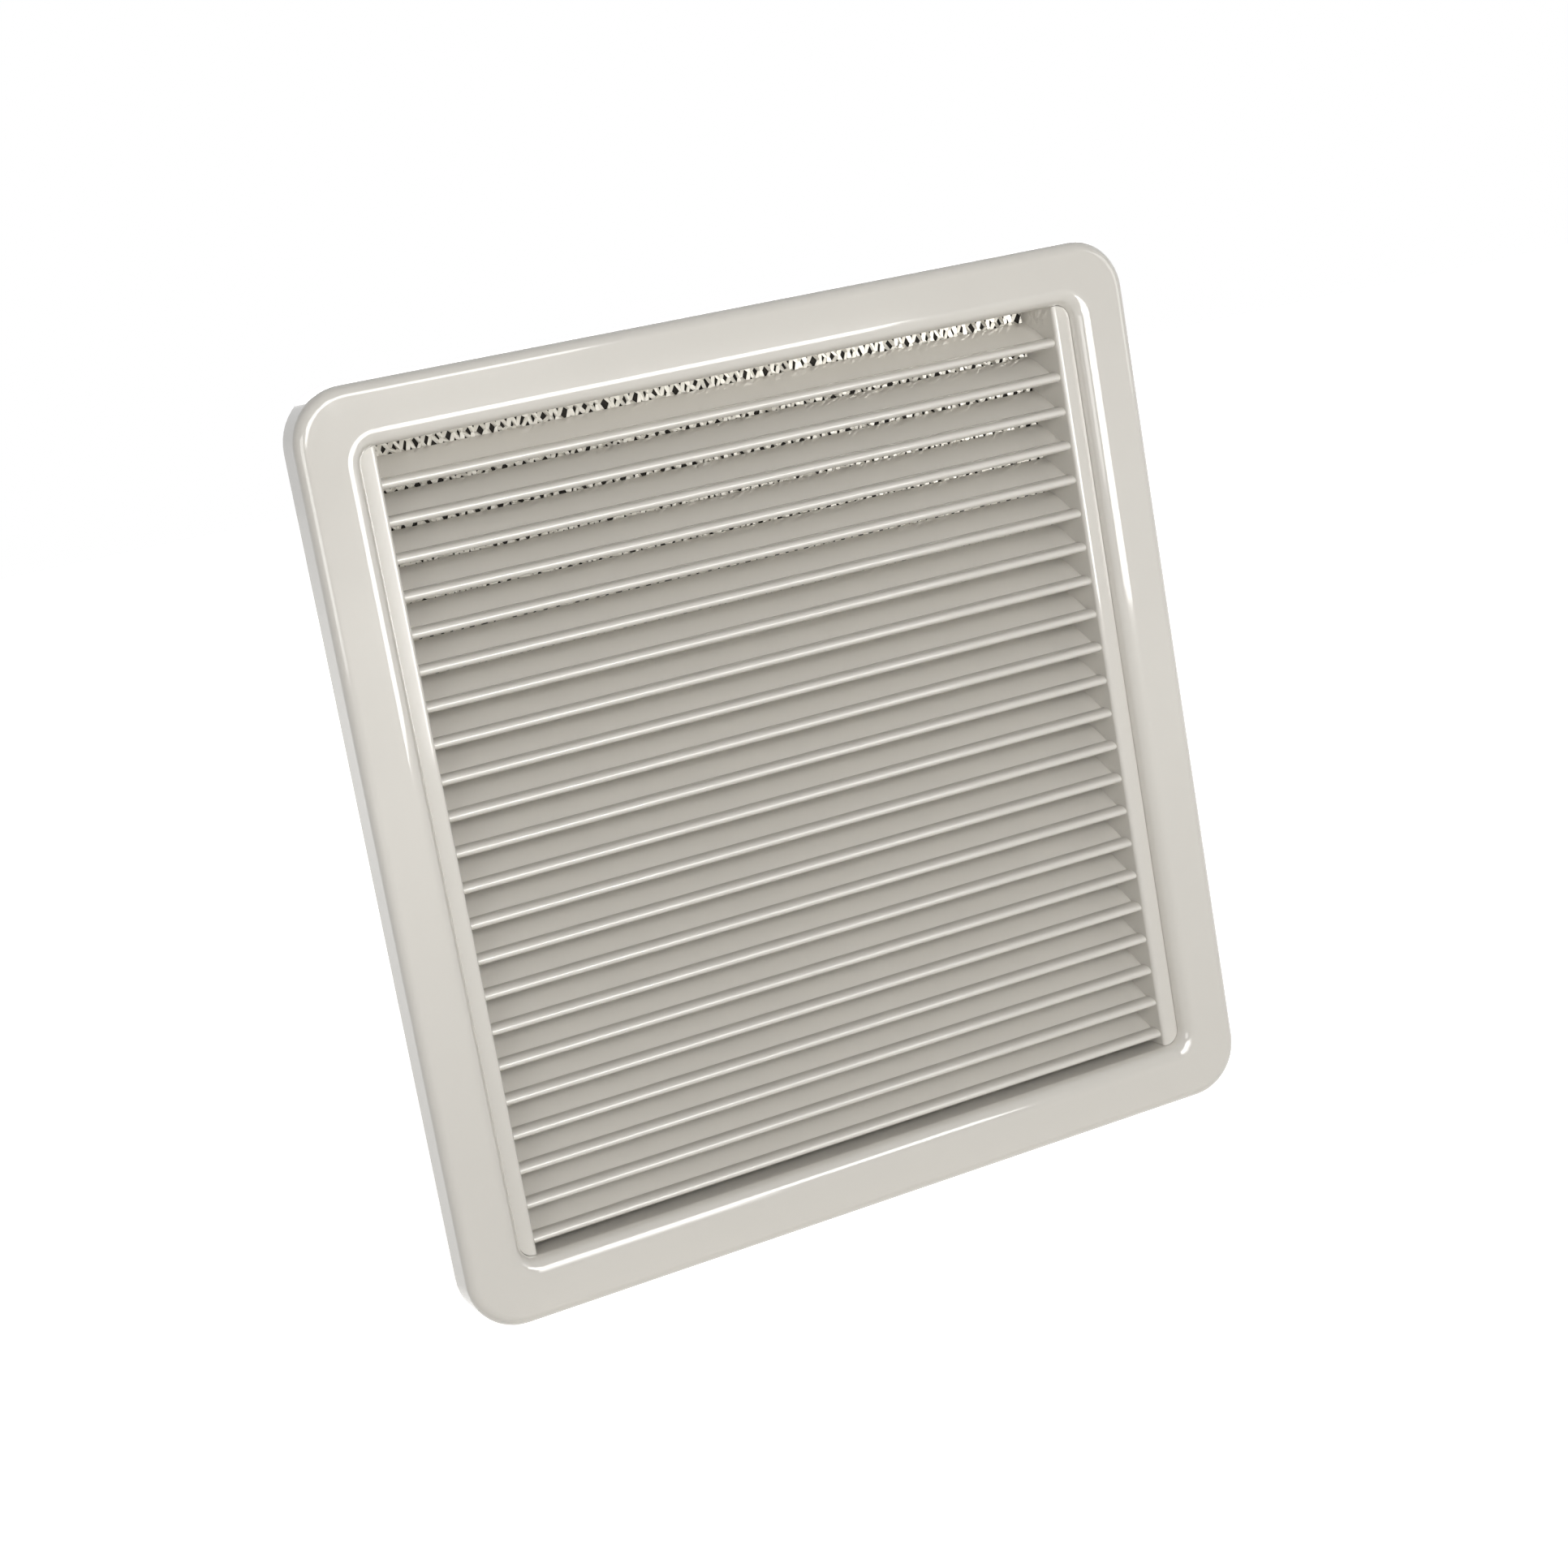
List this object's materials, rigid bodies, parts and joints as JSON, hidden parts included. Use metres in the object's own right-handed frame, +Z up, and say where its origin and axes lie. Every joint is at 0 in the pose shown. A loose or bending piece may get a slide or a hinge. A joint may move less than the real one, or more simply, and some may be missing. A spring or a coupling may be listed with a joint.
{
  "type": "louvred intake grille",
  "caption": "Square intake grille: a glossy moulded frame with a rounded lip round a stack of fixed sloping louvre slats, a mesh screen and a dark filter mat.",
  "frame": {"origin": "centre of the square opening, on the plane of the flange's back rim that lies against the wall", "axes": "+X to the right seen from the front, +Y from the front towards the duct, +Z up"},
  "size_m": [0.3764, 0.0418, 0.3874],
  "materials": {
    "bezel_plastic": "gloss",
    "rail_plastic": "gloss",
    "slat_plastic": "gloss",
    "mesh_aluminium": "satin",
    "mat_fabric": "matte",
    "retainer_plastic": "matte",
    "screw_steel": "satin"
  },
  "bodies": {
    "root": {"frame": "bezel_plastic", "left_side_rail": "rail_plastic", "right_side_rail": "rail_plastic", "slat_01": "slat_plastic", "slat_02": "slat_plastic", "slat_03": "slat_plastic", "slat_04": "slat_plastic", "slat_05": "slat_plastic", "slat_06": "slat_plastic", "slat_07": "slat_plastic", "slat_08": "slat_plastic", "slat_09": "slat_plastic", "slat_10": "slat_plastic", "slat_11": "slat_plastic", "slat_12": "slat_plastic", "slat_13": "slat_plastic", "slat_14": "slat_plastic", "slat_15": "slat_plastic", "slat_16": "slat_plastic", "slat_17": "slat_plastic", "slat_18": "slat_plastic", "slat_19": "slat_plastic", "slat_20": "slat_plastic", "slat_21": "slat_plastic", "slat_22": "slat_plastic", "mesh_screen": "mesh_aluminium", "filter_mat": "mat_fabric", "mesh_retainer": "retainer_plastic", "retainer_screws": "screw_steel"}
  },
  "joints": []
}
